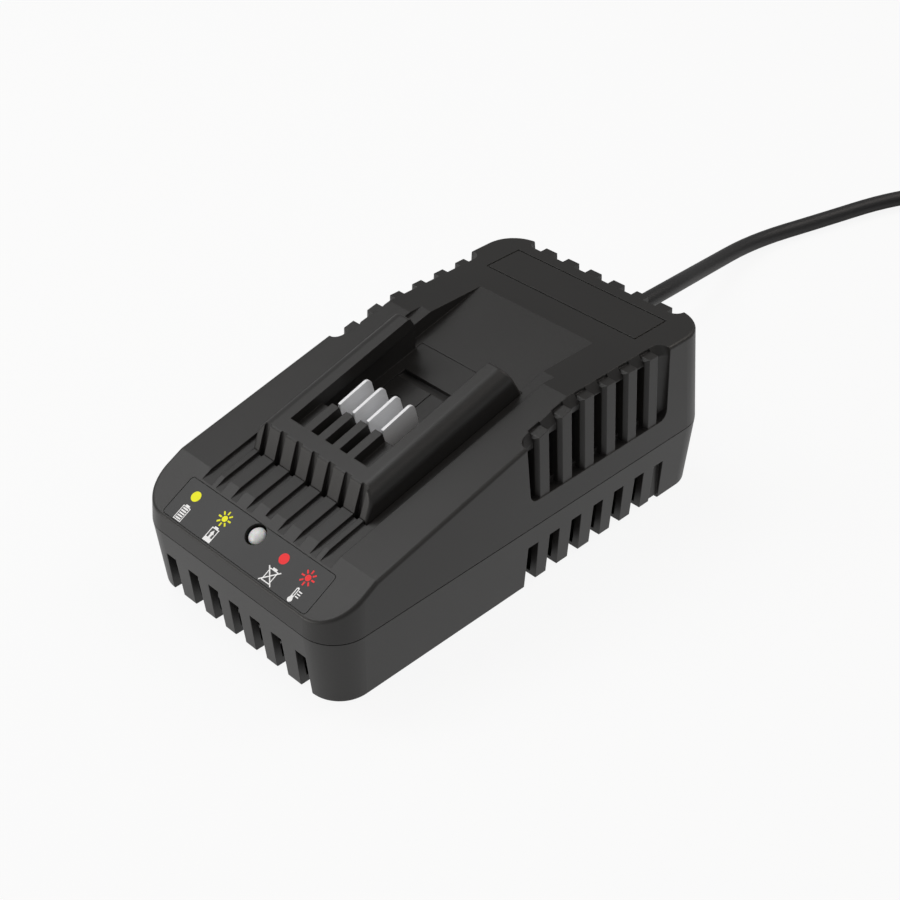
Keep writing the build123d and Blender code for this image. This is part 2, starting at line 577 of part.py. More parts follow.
def dock_cuts():
    far, mouth = DOCK_REAR_Y + 5, POCKET_REAR_Y
    floor = [(mouth, channel(mouth)), (far, channel(far))]
    cuts = [prism_along_x(floor + [(far, 90), (mouth, 90)], -LIP_X, LIP_X)]
    under_lips = floor + [(far, rail_top(far) - LIP_T), (mouth, rail_top(mouth) - LIP_T)]
    cuts.append(prism_along_x(under_lips, -SLOT_X, SLOT_X))
    # behind the rails only the floor goes on
    behind = [(RAIL_FOOT_Y, channel(RAIL_FOOT_Y)), (far, channel(far)), (far, 90), (RAIL_FOOT_Y, 90)]
    cuts.append(prism_along_x(behind, -SLOT_X, SLOT_X))
    cuts += [box(side * SLOT_X, side * 30, RAIL_FOOT_Y, far, 30, 90) for side in (-1, 1)]
    # shallow front part of the terminal pocket
    front = [(y, rail_top(y) - POCKET_DEPTH) for y in (POCKET_FRONT_Y, mouth + 1)]
    cuts.append(prism_along_x(front + [(mouth + 1, 90), (POCKET_FRONT_Y, 90)], -LIP_X, LIP_X))
    # hollow underside in front of the channel
    y0, y1 = DOCK_FRONT_Y + 5.4, mouth - 2.4
    hollow = [(y0, 20), (y1, 20), (y1, rail_top(y1) - POCKET_DEPTH - 2.4), (y0, rail_top(y0) - POCKET_DEPTH - 2.4)]
    cuts.append(prism_along_x(hollow, -SLOT_X, SLOT_X))
    cuts += [box(x - 0.8, x + 0.8, BLADE_Y[0] - 0.3, BLADE_Y[1] - 1.2, 30, channel(0)) for x in BLADE_X]
    return cuts + wall_grooves() + floor_details()


def terminal_rib(x):
    """Insulating rib that leads up to one contact blade."""
    front, end = POCKET_FRONT_Y - 1, POCKET_REAR_Y
    side = [(front, rail_top(front) - 5), (front, rail_top(front)), (RIB_END_Y, rail_top(RIB_END_Y)),
            (end, rail_top(end) - POCKET_DEPTH - 0.6)]
    return prism_along_x(side, x - RIB_W / 2, x + RIB_W / 2)


def battery_dock():
    body = dock_body() - joined(dock_cuts())
    body += joined([terminal_rib(x) for x in BLADE_X])
    for x, y in DOCK_SCREWS:
        top = long_slope(y) + EAR_DROP
        ear = box(DOCK_X - 2 if x > 0 else 2 - DOCK_X, x, y - 3.6, y + 3.6, top - EAR_T, top - 0.05)
        body += ear + rod(x, y, top - EAR_T, top - 0.05, 3.6)
        body -= rod(x, y, top - EAR_T - 1, top + 1, SMALL_SCREW_R + 0.3)
    return body


def contact_blade(x):
    """Upright plate in the pocket; a narrower tail runs down to the circuit board."""
    y0, y1 = BLADE_Y
    sides = [
        (y0, channel(y0) + 0.2), (y0, 56.1), (y1 - 1.7, 59.9), (y1, 53.5), (y1 + 0.5, channel(y1) + 0.3),
        (y1 - 2.6, channel(y1 - 2.6) + 0.2), (y1 - 2.6, BOARD_TOP), (y0 + 2.6, BOARD_TOP),
        (y0 + 2.6, channel(y0 + 2.6) + 0.2),
    ]
    plate = rounded(sides, (2,), 1.9)
    return extrude(Plane.YZ.offset(x - BLADE_T / 2) * plate, BLADE_T, dir=(1, 0, 0))


def terminal_block():
    """Block on the circuit board that holds the blades' tails."""
    y0, y1 = BLADE_Y[0] + 1.6, BLADE_Y[1] - 1.6
    block = box(-13.2, 13.2, y0, y1, BOARD_TOP, 34.0)
    slots = [box(x - BLADE_T / 2 - 0.1, x + BLADE_T / 2 + 0.1, y0 + 0.9, y1 - 0.9, 5, 40) for x in BLADE_X]
    return block - joined(slots)


# ---- deck ------------------------------------------------------------------------------------------------------------
def indicator_panel():
    return deck_panel(0, -PANEL_T, -0.02) - on_deck(LAMP_X, LAMP_Y) * Cylinder(LAMP_HOLE_R, 16)


def light_pipe():
    """Clear dome in the deck with a stem down to its light source."""
    rise = 1.5
    ball_r = (LAMP_R ** 2 + rise ** 2) / (2 * rise)
    ball = Pos(0, 0, DOME_BASE + rise - ball_r) * Sphere(ball_r)
    dome = ball & Pos(0, 0, DOME_BASE + 5) * Cylinder(LAMP_R, 10)
    head = Pos(0, 0, DOME_BASE - 2.5) * Cylinder(LAMP_R, 5)
    stem = rod(LAMP_X, LAMP_Y, LED_TOP_Z + 0.3, deck(LAMP_Y) - 1.5, 1.5)
    stem += rod(LAMP_X, LAMP_Y, HOLDER_TOP, HOLDER_TOP + 4, 2.4)
    return on_deck(LAMP_X, LAMP_Y) * (head + dome) + stem


def lamp_holder():
    """Sleeve round the light source; the light guide stands on it."""
    sleeve = rod(LAMP_X, LAMP_Y, BOARD_TOP, HOLDER_TOP, 3.9) - rod(LAMP_X, LAMP_Y, 5, HOLDER_TOP - 1.2, 2.9)
    return sleeve - rod(LAMP_X, LAMP_Y, 5, 30, 1.8)


def status_led():
    body = rod(LAMP_X, LAMP_Y, BOARD_TOP, LED_TOP_Z - 2.0, 2.0) + Pos(LAMP_X, LAMP_Y, LED_TOP_Z - 2.0) * Sphere(2.0)
    return body + rod(LAMP_X, LAMP_Y, BOARD_TOP, BOARD_TOP + 1.0, 2.6)


# ---- fasteners -----------------------------------------------------------------------------------------------------
def screw(x, y, head_z, tip_z, shank_r, head_r, head_h):
    """Pan-head screw; it points up where its tip is above its head."""
    up = 1 if tip_z > head_z else -1
    head = rod(x, y, *sorted((head_z, head_z - up * head_h)), head_r)
    rim = head.faces().sort_by(Axis.Z)[0 if up > 0 else -1].edges()
    head = fillet(rim, head_h * 0.35)
    head -= rod(x, y, *sorted((head_z - up * head_h, head_z - up * head_h * 0.45)), head_r * 0.38)
    return head + rod(x, y, *sorted((head_z, tip_z)), shank_r)


def case_screws():
    return joined([screw(x, y, HEAD_SEAT_Z, PART_Z + 8.0, SCREW_R, 2.9, 2.2) for x, y in CASE_SCREWS])


def board_screws():
    return joined([screw(x, y, BOARD_TOP, BOARD_Z - 5.5, SMALL_SCREW_R, 2.3, 1.6) for x, y in BOARD_SCREWS])


def dock_screws():
    screws = []
    for x, y in DOCK_SCREWS:
        seat = long_slope(y) + EAR_DROP - EAR_T
        screws.append(screw(x, y, seat, seat + 6.4, SMALL_SCREW_R, 2.3, 1.6))
    return joined(screws)


# ---- circuit board -------------------------------------------------------------------------------------------------
def circuit_board():
    board = box(-37, 37, -59, 59, BOARD_Z, BOARD_TOP) + box(-22, 22, -76, -58, BOARD_Z, BOARD_TOP)
    return board - joined([rod(x, y, 5, 15, SMALL_SCREW_R + 0.3) for x, y in BOARD_SCREWS])


def standing(x0, x1, y0, y1, height, rounding):
    """Moulded block standing on the board."""
    block = box(x0, x1, y0, y1, BOARD_TOP, BOARD_TOP + height)
    top = block.faces().sort_by(Axis.Z)[-1].edges()
    upright = [edge for edge in block.edges() if abs(edge.tangent_at(0).Z) > 0.9]
    return fillet(list(top) + upright, rounding)


def can(x, y, r, height):
    """Electrolytic capacitor: a can with a rolled neck near its foot."""
    body = rod(x, y, BOARD_TOP, BOARD_TOP + height, r)
    body = fillet(body.faces().sort_by(Axis.Z)[-1].edges(), 1.0)
    return body - Pos(x, y, BOARD_TOP + 2.6) * Torus(r + 0.25, 0.8)


def transformer_core():
    x, y = TRANSFORMER
    z0 = BOARD_TOP + 3.5
    core = box(x - 16, x + 16, y - 5.5, y + 5.5, z0, z0 + 26)
    windows = [box(x + side * 5.5, x + side * 12.5, y - 9, y + 9, z0 + 4.2, z0 + 21.8) for side in (-1, 1)]
    return core - joined(windows)


def transformer_winding():
    """Bobbin with its winding and the foot that carries the core."""
    x, y = TRANSFORMER
    z0 = BOARD_TOP + 3.5
    foot = box(x - 15, x + 15, y - 12, y + 12, BOARD_TOP, z0 - 0.1)
    parts = [rod(x, y, z0 + 4.5, z0 + 21.5, 11.0)]
    parts += [rod(x, y, z, z + 1.0, 11.8) for z in (z0 + 4.4, z0 + 20.6)]
    winding = joined(parts) - box(x - 5.7, x + 5.7, y - 5.7, y + 5.7, z0, z0 + 30)
    return winding, foot


def choke_core():
    return rod(*CHOKE, BOARD_TOP + 1.5, BOARD_TOP + 8.5, 9.0) - rod(*CHOKE, BOARD_TOP, BOARD_TOP + 10, 5.0)


def choke_winding():
    x, y = CHOKE
    ring = rod(x, y, BOARD_TOP + 0.4, BOARD_TOP + 9.6, 10.1) - rod(x, y, BOARD_TOP, BOARD_TOP + 11, 3.9)
    ring -= box(x - 2.6, x + 2.6, y - 12, y + 12, BOARD_TOP, BOARD_TOP + 12)
    hollow = rod(x, y, BOARD_TOP + 1.4, BOARD_TOP + 8.6, 9.1) - rod(x, y, BOARD_TOP, BOARD_TOP + 10, 4.9)
    return ring - hollow


def fuse():
    x0, x1, y, z = *FUSE_X, FUSE_Y, BOARD_TOP + 3.4
    glass = rod_along_x(y, z, x0, x1, 2.5)
    caps = [rod_along_x(y, z, x, x + 3.0, 2.8) for x in (x0, x1 - 3.0)]
    clips = [box(x + 0.4, x + 2.6, y - 1.6, y + 1.6, BOARD_TOP, z) for x in (x0, x1 - 3.0)]
    return glass + joined(caps + clips)


def heat_sink(x0, x1, y0, y1, z0, z1):
    """Plate standing on two feet."""
    plate = box(x0, x1, y0, y1, z0, z1)
    feet = [box(x0, x1, y, y + 3, BOARD_TOP, z0) for y in (y0 + 2, y1 - 5)]
    return plate + joined(feet)


def power_device(x0, x1, y0, y1):
    """Flat-backed semiconductor standing against a heat sink, on three legs."""
    z0 = BOARD_TOP + 5
    body = box(x0, x1, y0, y1, z0, z0 + 15)
    middle = (x0 + x1) / 2
    legs = [box(middle - 0.4, middle + 0.4, y - 0.5, y + 0.5, BOARD_TOP, z0) for y in
            ((y0 + y1) / 2 - 2.5, (y0 + y1) / 2, (y0 + y1) / 2 + 2.5)]
    return body + joined(legs)


def control_chips():
    return joined([box(x - w / 2, x + w / 2, y - d / 2, y + d / 2, BOARD_TOP, BOARD_TOP + h) for x, y, w, d, h in CHIPS])


def input_connector():
    x0, x1, y0, y1, height = INPUT_CONNECTOR
    body = box(x0, x1, y0, y1, BOARD_TOP, BOARD_TOP + height)
    return body - joined([rod(x, (y0 + y1) / 2, BOARD_TOP + 3, BOARD_TOP + 12, 1.35) for x in LEAD_X])


# ---- cord ------------------------------------------------------------------------------------------------------------
def tube(points, radii, r):
    """Round bar along straight runs joined by tangent arcs."""
    path = FilletPolyline(*points, radius=radii) if len(points) > 2 else Polyline(*points)
    return sweep(Plane(origin=points[0], z_dir=path % 0) * Circle(r), path=path, transition=Transition.ROUND)


def bend_radii(points):
    """As large an arc at each corner as its two runs allow."""
    radii = []
    for before, corner, after in zip(points, points[1:], points[2:]):
        a = Vector(*corner) - Vector(*before)
        b = Vector(*after) - Vector(*corner)
        half_turn = radians(a.get_angle(b)) / 2
        radii.append(0.45 * min(a.length, b.length) / tan(half_turn))
    return radii


def cord_tube(name, points):
    radii = bend_radii(points)
    solid = tube(points, radii, CORD_R)
    runs = sum((Vector(*b) - Vector(*a)).length for a, b in zip(points, points[1:]))
    length = solid.volume / (pi * CORD_R ** 2)
    print(name, "radii", [round(r, 1) for r in radii], "runs", round(runs, 1), "volume / section", round(length, 1))
    return solid


def on_coil(angle, r):
    turn = radians(angle)
    return (COIL_X + r * cos(turn), COIL_Y + r * sin(turn))


COIL_Z = COIL_LIFT + CORD_R
JOIN_X, JOIN_Y = on_coil(COIL_START, COIL_OUT_R)
HEADING = (sin(radians(COIL_START)), -cos(radians(COIL_START)))
ENTRY = (JOIN_X - STUB * HEADING[0], JOIN_Y - STUB * HEADING[1], COIL_Z)
APPROACH = (ENTRY[0] - 30 * HEADING[0], ENTRY[1] - 30 * HEADING[1], COIL_Z)
LEAVE_Z = COIL_Z + CORD_D
LEAVE = (PLUG_X, COIL_Y - STUB, LEAVE_Z)

# from the rear wall down to the floor, and along it to the coil
ROUTE = [
    (EXIT_X, MID_Y, PART_Z),
    (EXIT_X, 131.0, PART_Z),
    (-28.5, 176.0, 11.4),
    (-36.5, 220.0, 3.45),
    (-27.0, 256.0, 3.3),
    APPROACH,
    ENTRY,
]
# from the top of the coil down to the plug
TAIL = [
    LEAVE,
    (PLUG_X, LEAVE[1] - 16.0, LEAVE_Z),
    (PLUG_X, PLUG_Y + 16.0, PLUG_Z),
    (PLUG_X, PLUG_Y, PLUG_Z),
]


def cord_run():
    return cord_tube("cord_run", ROUTE)


def cord_tail():
    return cord_tube("cord_tail", TAIL)


def cord_coil():
    """Outer form of the wound turns, with the straight stubs where the cord joins and leaves it."""
    low, high = COIL_LIFT, COIL_LIFT + 2 * CORD_D
    ring = rod(COIL_X, COIL_Y, low, high, COIL_RIM) - rod(COIL_X, COIL_Y, low - 1, high + 1, COIL_IN_R - CORD_R)
    ring = fillet(ring.edges().filter_by(GeomType.CIRCLE), 1.6)
    end = (JOIN_X, JOIN_Y, COIL_Z)
    ring += tube([ENTRY, end], [], CORD_R) + tube([(PLUG_X, COIL_Y, LEAVE_Z), LEAVE], [], CORD_R)
    return ring


def cord_tie():
    """Strap round the turns on the side away from the charger."""
    half, gap = TIE_W / 2, TIE_GAP
    inner_y = COIL_Y + sqrt((COIL_IN_R - CORD_R) ** 2 - half ** 2) - gap
    outer_y = COIL_Y + COIL_RIM + gap
    low, high = COIL_LIFT - gap, COIL_LIFT + 2 * CORD_D + gap
    strap = box(COIL_X - half, COIL_X + half, inner_y - TIE_T, outer_y + TIE_T, low - TIE_T, high + TIE_T)
    along = [edge for edge in strap.edges() if abs(edge.tangent_at(0).X) > 0.9]
    strap = fillet(along, 1.8)
    return strap - box(COIL_X - TIE_W, COIL_X + TIE_W, inner_y, outer_y, low, high)


def strain_relief():
    """Flexible boot, held in the rear wall between its flange and its shoulder."""
    y0 = MID_Y + 0.25
    tip = MID_Y + BOOT_LENGTH
    shape = Polygon(
        (CORD_R + 0.3, y0 - 7.4), (6.4, y0 - 7.4), (6.4, y0 - 4.8), (BOOT_NECK_R, y0 - 4.8), (BOOT_NECK_R, y0),
        (BOOT_BASE_R, y0), (BOOT_BASE_R, y0 + 3), (BOOT_TIP_R, tip), (CORD_R + 0.3, tip), align=None,
    )
    boot = Pos(EXIT_X, 0, PART_Z) * revolve(Plane.XY * shape, Axis.Y)
    rings = []
    for i in range(5):
        y = y0 + 6 + 4.4 * i
        ring = rod_along_y(EXIT_X, PART_Z, y, y + 1.5, 8) - rod_along_y(EXIT_X, PART_Z, y - 1, y + 2.5, CORD_R + 0.85)
        flats = [box(EXIT_X + side * 0.9, EXIT_X + side * 9, y, y + 1.5, PART_Z - 9, PART_Z + 9) for side in (-1, 1)]
        rings.append(ring & joined(flats))
    return boot - joined(rings)


def cord_sheath():
    """Jacket of the cord inside the housing, up to where its cores part."""
    return rod_along_y(EXIT_X, PART_Z, CLAMP_Y - 6, MID_Y, CORD_R)


def cord_cores():
    """Two insulated cores from the jacket's end down into the input connector."""
    cores = []
    for side, x in zip((-1, 1), LEAD_X):
        start = (EXIT_X + side * 1.3, CLAMP_Y - 6, PART_Z)
        points = [start, (start[0], CLAMP_Y - 11, PART_Z), (x, 53.2, PART_Z - 0.6), (x, 53.0, BOARD_TOP + 4)]
        cores.append(tube(points, [1.6, 2.2], 1.05))
    return joined(cores)


def cord_clamp():
    z = PART_Z + CORD_R + 0.06
    bar = box(EXIT_X - 12.4, EXIT_X + 12.4, CLAMP_Y - 3.8, CLAMP_Y + 3.8, z, z + 3.0)
    bar = fillet([edge for edge in bar.edges() if abs(edge.tangent_at(0).Z) > 0.9], 2.5)
    return bar - joined([rod(EXIT_X + x, CLAMP_Y, z - 1, z + 5, SMALL_SCREW_R + 0.3) for x in CLAMP_SCREWS_X])


def clamp_screws():
    z = PART_Z + CORD_R + 3.06
    return joined([screw(EXIT_X + x, CLAMP_Y, z, PART_Z - 7.5, SMALL_SCREW_R, 2.3, 1.6) for x in CLAMP_SCREWS_X])


def plug_body():
    """Flat two-pin plug with a tapered sleeve where the cord enters."""
    width, length, height = PLUG_BODY
    front = PLUG_Y - SLEEVE_LENGTH - length
    half = width / 2
    plan = [(-half, 0), (half, 0), (half, length * 0.62), (CORD_D * 1.1, length), (-CORD_D * 1.1, length),
            (-half, length * 0.62)]
    face = rounded(plan, (2, 5), 7.0)
    face = fillet([v for v in face.vertices() if v.Y < 0.1], 4.0)
    slab = extrude(Plane(origin=(PLUG_X, front, PLUG_Z - height / 2 + 0.1)) * face, height, dir=(0, 0, 1))
    slab = fillet(slab.faces().sort_by(Axis.Z)[0].edges() + slab.faces().sort_by(Axis.Z)[-1].edges(), 2.6)
    y0 = front + length - 4
    sleeve = Pos(PLUG_X, (y0 + PLUG_Y) / 2, PLUG_Z) * Rot(X=-90) * Cone(5.9, CORD_R + 0.8, PLUG_Y - y0)
    grooves = []
    for i in range(4):
        y = PLUG_Y - 4.5 - 3.6 * i
        outside = rod_along_y(PLUG_X, PLUG_Z, y, y + 1.2, 8)
        grooves.append(outside - rod_along_y(PLUG_X, PLUG_Z, y - 1, y + 2.4, CORD_R + 0.7))
    return slab + (sleeve - joined(grooves))


def plug_pins():
    front = PLUG_Y - SLEEVE_LENGTH - PLUG_BODY[1]
    pins = []
    for side in (-1, 1):
        pin = rod_along_y(PLUG_X + side * PIN_SPACING / 2, PLUG_Z, front - PIN_LENGTH, front, PIN_R)
        pins.append(fillet(pin.faces().sort_by(Axis.Y)[0].edges(), 1.2))
    return joined(pins)


# ---- output ------------------------------------------------------------------------------------------------------------
winding, winding_foot = transformer_winding()

NODES = {
    "base_shell": base_shell(),
    "top_shell": top_shell(),
    "battery_dock": battery_dock(),
    "terminal_block": terminal_block(),
    "indicator_panel": indicator_panel(),
    "light_pipe": light_pipe(),
    "status_led": status_led(),
    "lamp_holder": lamp_holder(),
    "case_screws": case_screws(),
    "board_screws": board_screws(),
    "dock_screws": dock_screws(),
    "circuit_board": circuit_board(),
    "transformer_core": transformer_core(),
    "transformer_winding": winding,
    "transformer_foot": winding_foot,
    "choke_core": choke_core(),
    "choke_winding": choke_winding(),
    "interference_capacitor": standing(*INTERFERENCE_CAPACITOR, 1.0),
    "bulk_capacitor": can(*BULK_CAPACITOR),
    "output_capacitors": joined([can(*size) for size in OUTPUT_CAPACITORS]),
    "bridge_rectifier": standing(*BRIDGE_RECTIFIER, 0.6),
    "fuse": fuse(),
    "primary_heat_sink": heat_sink(*PRIMARY_SINK),
    "secondary_heat_sink": heat_sink(*SECONDARY_SINK),
    "power_switch": power_device(*POWER_SWITCH),
    "output_rectifier": power_device(*OUTPUT_RECTIFIER),
    "control_chips": control_chips(),
    "input_connector": input_connector(),
    "cord_cores": cord_cores(),
    "cord_sheath": cord_sheath(),
    "cord_clamp": cord_clamp(),
    "clamp_screws": clamp_screws(),
    "strain_relief": strain_relief(),
    "cord_run": cord_run(),
    "cord_coil": cord_coil(),
    "cord_tail": cord_tail(),
    "cord_tie": cord_tie(),
    "plug_body": plug_body(),
    "plug_pins": plug_pins(),
}
for number, x in enumerate(BLADE_X, 1):
    NODES[f"contact_blade_{number}"] = contact_blade(x)
for number, (x, y) in enumerate(FEET, 1):
    NODES[f"foot_pad_{number}"] = foot_pad(x, y)

os.makedirs("parts", exist_ok=True)
for node, shape in NODES.items():
    export_step(shape, f"parts/{node}.step")
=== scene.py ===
import math

import bpy
from mathutils import Matrix, Vector


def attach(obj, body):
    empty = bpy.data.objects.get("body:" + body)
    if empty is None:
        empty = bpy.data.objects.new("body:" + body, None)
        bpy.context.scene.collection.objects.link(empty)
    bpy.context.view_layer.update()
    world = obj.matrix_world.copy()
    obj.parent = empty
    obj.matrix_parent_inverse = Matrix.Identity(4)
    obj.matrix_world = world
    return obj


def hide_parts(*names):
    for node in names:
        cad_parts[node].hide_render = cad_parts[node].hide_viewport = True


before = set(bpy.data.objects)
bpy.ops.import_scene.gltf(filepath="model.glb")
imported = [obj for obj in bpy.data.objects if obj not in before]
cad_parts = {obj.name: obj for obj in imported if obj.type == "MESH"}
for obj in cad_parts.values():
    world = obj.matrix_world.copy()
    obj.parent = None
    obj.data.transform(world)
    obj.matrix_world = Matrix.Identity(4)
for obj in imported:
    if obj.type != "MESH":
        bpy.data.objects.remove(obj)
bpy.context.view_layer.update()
MM = 0.001

# ---- places on the charger, in millimetres ------------------------------------------------------------
DECK_Z, DECK_SLOPE = 74.71, 0.533          # height of the deck at y = 0 and its rise per millimetre
DECK_TILT = math.atan(DECK_SLOPE)
PANEL_MID_Y = -76.1                        # middle of the indicator panel
PRINT_LOW, PRINT_HIGH = -0.025, 0.012      # the printed signs, across the deck's surface
CHOKE_X, CHOKE_Y = 22.0, 42.0              # axis of the choke's ring
FUSE_X, FUSE_Y, FUSE_HALF = -23.0, 43.0, 4.0         # middle of the fuse; half its glass
CORES_MID_X = -15.8                        # between the cord's two cores
BULK_CAN = (-20.0, 16.0, 9.0)              # x, y and radius
OUTPUT_CANS = (15.0, -48.0, 12.0)          # the same, round both cans


# ---- camera -------------------------------------------------------------------------------------------
CAMERA_PLACE = (299.09, -291.57, 334.0)
CAMERA_YAW, CAMERA_PITCH, CAMERA_ROLL = 45.086, 36.218, 0.17         # degrees
SENSOR, LENS = 36.0, 65.31


def add_camera():
    """Looks down on the charger from the front right."""
    yaw, pitch, roll = [math.radians(angle) for angle in (CAMERA_YAW, CAMERA_PITCH, CAMERA_ROLL)]
    forward = Vector((-math.sin(yaw) * math.cos(pitch), math.cos(yaw) * math.cos(pitch), -math.sin(pitch)))
    level = Vector((math.cos(yaw), math.sin(yaw), 0))
    rise = level.cross(forward)
    right = level * math.cos(roll) + rise * math.sin(roll)
    up = rise * math.cos(roll) - level * math.sin(roll)
    data = bpy.data.cameras.new("camera")
    data.sensor_width, data.lens = SENSOR, LENS
    data.clip_start, data.clip_end = 0.01, 20
    camera = bpy.data.objects.new("camera", data)
    bpy.context.scene.collection.objects.link(camera)
    turn = Matrix((right, up, -forward)).transposed().to_4x4()
    camera.matrix_world = Matrix.Translation(Vector(CAMERA_PLACE) * MM) @ turn
    bpy.context.scene.camera = camera


add_camera()


# ---- materials ----------------------------------------------------------------------------------------
def paint(red, green, blue):
    """Display colour, 0 to 255, as the linear colour that a node takes."""
    def linear(level):
        level /= 255
        return level / 12.92 if level <= 0.04045 else ((level + 0.055) / 1.055) ** 2.4
    return (linear(red), linear(green), linear(blue), 1)


def shade(colour, factor):
    return (colour[0] * factor, colour[1] * factor, colour[2] * factor, 1)


class Wire:
    """An output socket; arithmetic on it adds Math nodes to its finish."""

    def __init__(self, finish, socket):
        self.finish, self.socket = finish, socket

    def math(self, operation, *others, **settings):
        values = dict(enumerate((self, *others)))
        return self.finish.node("ShaderNodeMath", values, operation=operation, **settings)

    def __add__(self, other):
        return self.math("ADD", other)

    def __sub__(self, other):
        return self.math("SUBTRACT", other)

    def __rsub__(self, other):
        return self.math("MULTIPLY_ADD", -1.0, other)

    def __mul__(self, other):
        return self.math("MULTIPLY", other)

    __radd__ = __add__
    __rmul__ = __mul__

    def clamped(self):
        return self.math("ADD", 0.0, use_clamp=True)

    def over(self, limit):
        return self.math("GREATER_THAN", limit)


class Finish:
    """A material while it is being made."""

    def __init__(self, name):
        self.material = bpy.data.materials.new(name)
        self.material.use_nodes = True
        self.tree = self.material.node_tree
        self.shader = self.tree.nodes["Principled BSDF"]
        self.place = self.node("ShaderNodeTexCoord", out="Object")

    def node(self, kind, inputs=None, out=0, **settings):
        """Adds a node, sets it up, fills or links its inputs and gives back one of its outputs."""
        made = self.tree.nodes.new(kind)
        for name, value in settings.items():
            setattr(made, name, value)
        for name, value in (inputs or {}).items():
            if isinstance(value, Wire):
                self.tree.links.new(value.socket, made.inputs[name])
            else:
                made.inputs[name].default_value = value
        return Wire(self, made.outputs[out])

    def noise(self, scale, detail=2.0, place=None):
        return self.node(
            "ShaderNodeTexNoise", {"Vector": place or self.place, "Scale": scale, "Detail": detail}, out="Fac"
        )

    def cells(self, scale, **settings):
        return self.node(
            "ShaderNodeTexVoronoi", {"Vector": self.place, "Scale": scale}, out="Distance", **settings
        )

    def waves(self, scale, direction):
        return self.node(
            "ShaderNodeTexWave", {"Vector": self.place, "Scale": scale, "Distortion": 0.6},
            out="Fac", bands_direction=direction,
        )

    def stretched(self, x, y, z):
        return self.node("ShaderNodeMapping", {"Vector": self.place, "Scale": (x, y, z)})

    def along(self, axis):
        """Where on the part a point is along X, Y or Z, in metres."""
        return self.node("ShaderNodeSeparateXYZ", {0: self.place}, out=axis)

    def facing_up(self):
        """1 on faces that look up, 0 on upright ones, -1 underneath."""
        normal = self.node("ShaderNodeNewGeometry", out="Normal")
        return self.node("ShaderNodeSeparateXYZ", {0: normal}, out="Z")

    def blend(self, factor, first, second):
        """Mixes two colours; 6, 7 and 2 are the Mix node's colour sockets."""
        return self.node("ShaderNodeMix", {"Factor": factor, 6: first, 7: second}, out=2, data_type="RGBA")

    def soft_edges(self, radius):
        """Normal that rounds the part's edges by a radius in millimetres."""
        return self.node("ShaderNodeBevel", {"Radius": radius * MM}, samples=6)

    def edge_mask(self, rounded):
        """1 along edges, 0 on flat faces."""
        flat = self.node("ShaderNodeNewGeometry", out="Normal")
        along = self.node("ShaderNodeVectorMath", {0: rounded, 1: flat}, out="Value", operation="DOT_PRODUCT")
        return ((1.0 - along) * 6.0).clamped()

    def bump(self, height, depth, normal=None):
        """Normal of a relief that is depth millimetres high."""
        inputs = {"Height": height, "Distance": depth * MM}
        if normal:
            inputs["Normal"] = normal
        return self.node("ShaderNodeBump", inputs)

    def surface(self, **sockets):
        """Sets the shader's sockets; spaces in their names are written as underscores."""
        for name, value in sockets.items():
            socket = self.shader.inputs[name.replace("_", " ")]
            if isinstance(value, Wire):
                self.tree.links.new(value.socket, socket)
            else:
                socket.default_value = value
        return self.material


def moulded_plastic(name, colour, rough, grain=2600.0, depth=0.012, edge_r=0.3, edge_highlight=1.5):
    """Plastic with a fine spark-eroded grain, and a painted highlight that makes it a little paler along its
    edges, as where they catch the light.
    """
    finish = Finish(name)
    rounded = finish.soft_edges(edge_r)
    mottle = finish.noise(38.0, 3.0)
    grains = finish.noise(grain, 2.0)
    pits = finish.cells(grain * 0.45)
    body = finish.blend(mottle, shade(colour, 0.88), shade(colour, 1.12))
    body = finish.blend(grains * 0.35, body, shade(colour, 1.35))
    # painted highlight: the colour turns paler along the edges
    body = finish.blend(finish.edge_mask(rounded) * 0.6, body, shade(colour, edge_highlight))
    return finish.surface(
        Base_Color=body,
        Roughness=rough + mottle * 0.08 + grains * 0.06,
        Normal=finish.bump(grains + pits * 0.5, depth, rounded),
        Specular_IOR_Level=0.4,
    )


CHARCOAL = paint(38, 37, 36)
housing = moulded_plastic("housing", CHARCOAL, 0.36)
dock = moulded_plastic("dock", paint(37, 36, 35), 0.36)
film = moulded_plastic("panel_film", paint(34, 34, 34), 0.36, 3200.0, 0.005, 0.1, 1.1)
black_plastic = moulded_plastic("black_plastic", paint(30, 30, 31), 0.5)
pale_nylon = moulded_plastic("pale_nylon", paint(222, 218, 205), 0.4, 1800.0, 0.006, 0.15, 1.05)
rubber = moulded_plastic("foot_rubber", paint(36, 36, 37), 0.62, 1500.0, 0.02, 0.2, 1.2)
plug_rubber = moulded_plastic("plug_rubber", paint(38, 38, 39), 0.45, 1900.0, 0.012, 0.25, 1.3)


def plated_metal(name, colour, rough, lines, metallic=1.0):
    """Bare or plated metal with fine rolling or turning lines, and a painted highlight along its edges."""
    finish = Finish(name)
    rounded = finish.soft_edges(0.12)
    streaks = finish.noise(1.0, 3.0, finish.stretched(*lines))
    cloud = finish.noise(160.0, 2.0)
    body = finish.blend(streaks, shade(colour, 0.88), shade(colour, 1.08))
    # painted highlight: the colour turns paler along the edges
    body = finish.blend(finish.edge_mask(rounded) * 0.7, body, shade(colour, 1.25))
    return finish.surface(
        Base_Color=body,
        Metallic=metallic,
        Roughness=rough + streaks * 0.10 + cloud * 0.08,
        Normal=finish.bump(streaks, 0.004, rounded),
    )


blade_metal = plated_metal("blade_metal", paint(240, 241, 243), 0.42, (300.0, 300.0, 5000.0), 0.1)
screw_steel = plated_metal("screw_steel", paint(190, 190, 188), 0.32, (2500.0, 2500.0, 400.0))
sink_aluminium = plated_metal("sink_aluminium", paint(200, 201, 203), 0.38, (400.0, 160.0, 4000.0))
pin_nickel = plated_metal("pin_nickel", paint(205, 202, 194), 0.22, (3000.0, 200.0, 3000.0))


